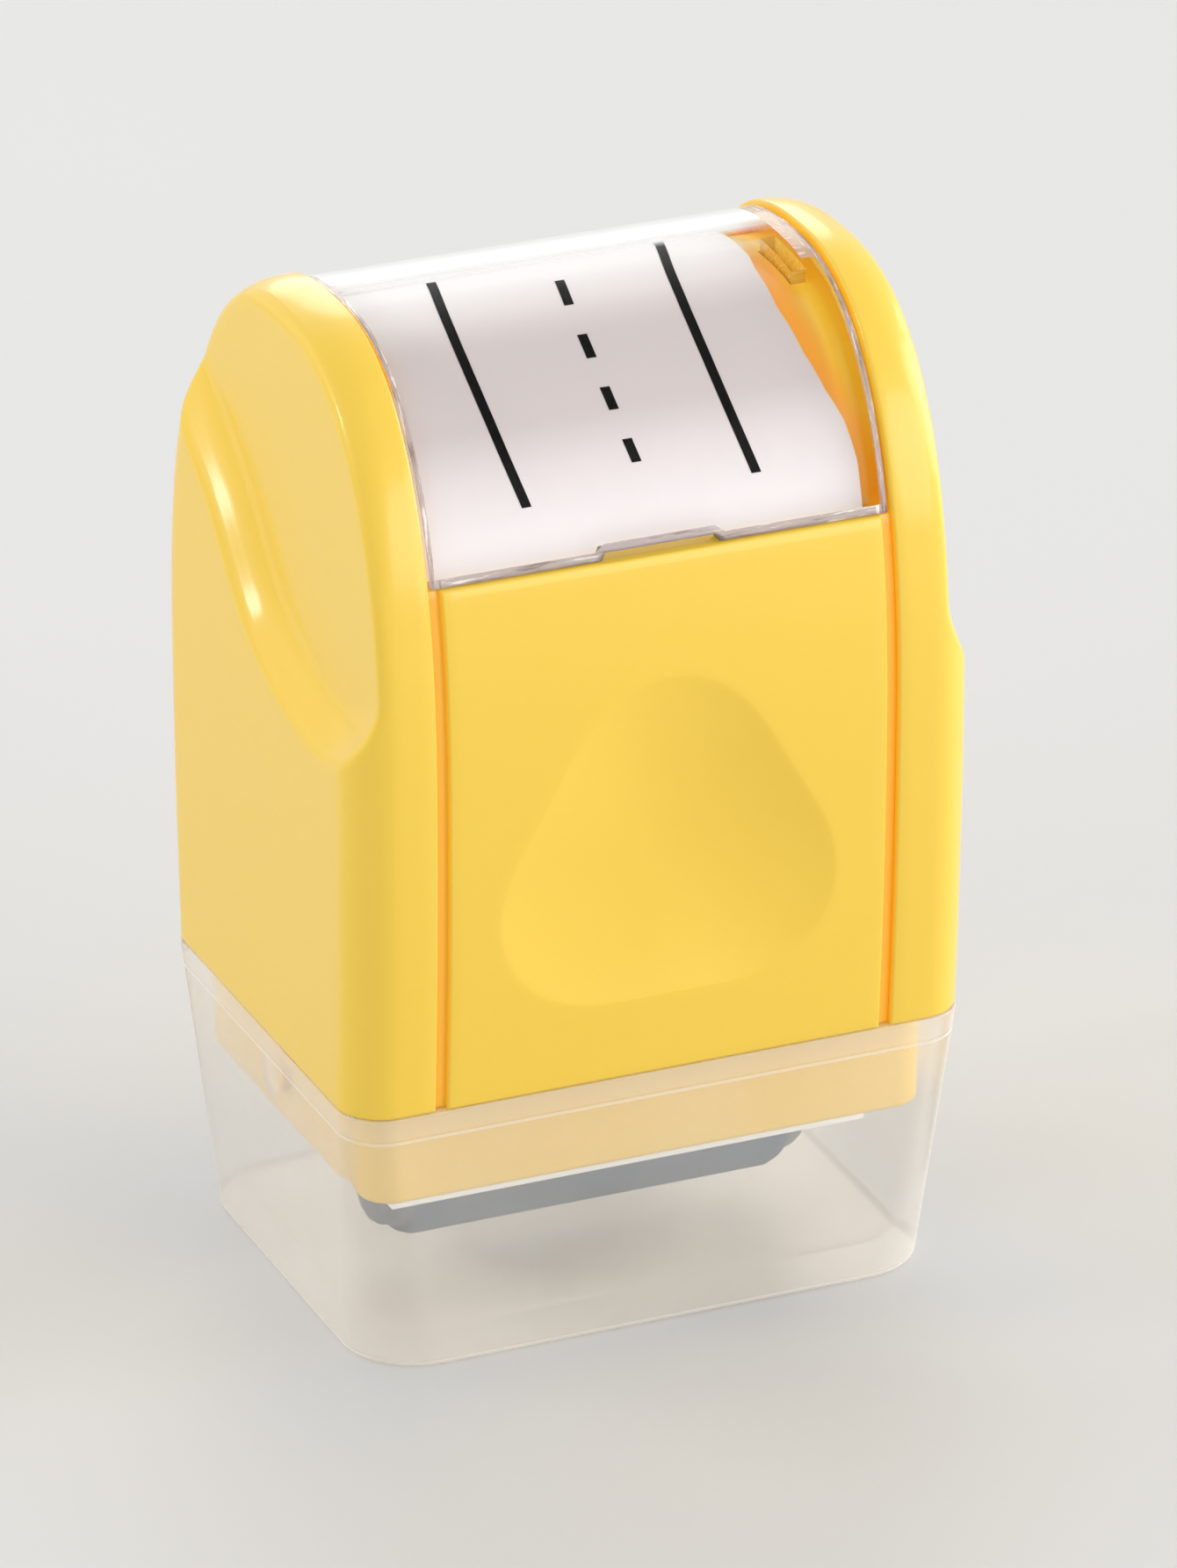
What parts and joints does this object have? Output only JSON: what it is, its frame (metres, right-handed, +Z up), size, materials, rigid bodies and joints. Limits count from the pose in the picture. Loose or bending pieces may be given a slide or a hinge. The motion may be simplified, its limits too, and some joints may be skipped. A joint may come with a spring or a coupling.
{
  "type": "line roller stamp",
  "caption": "Self-inking roller stamp for ruled handwriting lines, with a scooped moulded body, a clear label window and a frosted pull-off cap.",
  "frame": {"origin": "centre of the closed cap's flat bottom, which the stamp stands on", "axes": "+Z up towards the label window, +X along the roller axles to the right, front face towards -Y"},
  "size_m": [0.0502, 0.0396, 0.0802],
  "materials": {
    "yellow_plastic": "fine satin moulded plastic, warm yellow",
    "frosted_plastic": "translucent frosted plastic, warm grey",
    "clear_plastic": "polished clear plastic",
    "label_paper": "smooth white paper printed with black rules",
    "white_plastic": "plain white moulded plastic",
    "grey_plastic": "plain grey moulded plastic",
    "die_rubber": "matt grey stamp rubber",
    "ink_foam": "porous foam soaked with black ink",
    "steel": "plain drawn steel"
  },
  "bodies": {
    "housing": {"centre_shell": "yellow_plastic", "left_cheek": "yellow_plastic", "right_cheek": "yellow_plastic", "skirt": "yellow_plastic", "label": "label_paper", "cartridge_frame": "white_plastic", "cartridge_end_left": "white_plastic", "cartridge_end_right": "white_plastic", "print_axle": "steel", "ink_axle": "steel", "skirt_screw_1": "steel", "skirt_screw_2": "steel", "skirt_screw_3": "steel", "skirt_screw_4": "steel"},
    "cap": {"cap": "frosted_plastic"},
    "window": {"window": "clear_plastic"},
    "print_roller": {"print_drum": "grey_plastic", "print_die": "die_rubber", "print_flange_left": "grey_plastic", "print_flange_right": "grey_plastic"},
    "ink_roller": {"ink_core": "grey_plastic", "ink_foam": "ink_foam", "ink_washer_left": "grey_plastic", "ink_washer_right": "grey_plastic"}
  },
  "joints": [
    {"name": "cap_pull", "type": "slide", "parent": "housing", "child": "cap", "axis": [0, 0, -1], "range_m": [0, 0.03]},
    {"name": "window_lift", "type": "slide", "parent": "housing", "child": "window", "axis": [0, 0, 1], "range_m": [0, 0.01]},
    {"name": "print_spin", "type": "hinge", "parent": "housing", "child": "print_roller", "pos_m": [0, 0, 0.0121], "axis": [1, 0, 0], "continuous": true},
    {"name": "ink_spin", "type": "hinge", "parent": "housing", "child": "ink_roller", "pos_m": [0, 0, 0.0289], "axis": [1, 0, 0], "continuous": true}
  ],
  "couplings": [
    {"joint": "ink_spin", "follows": "print_spin", "ratio": -1.2}
  ]
}
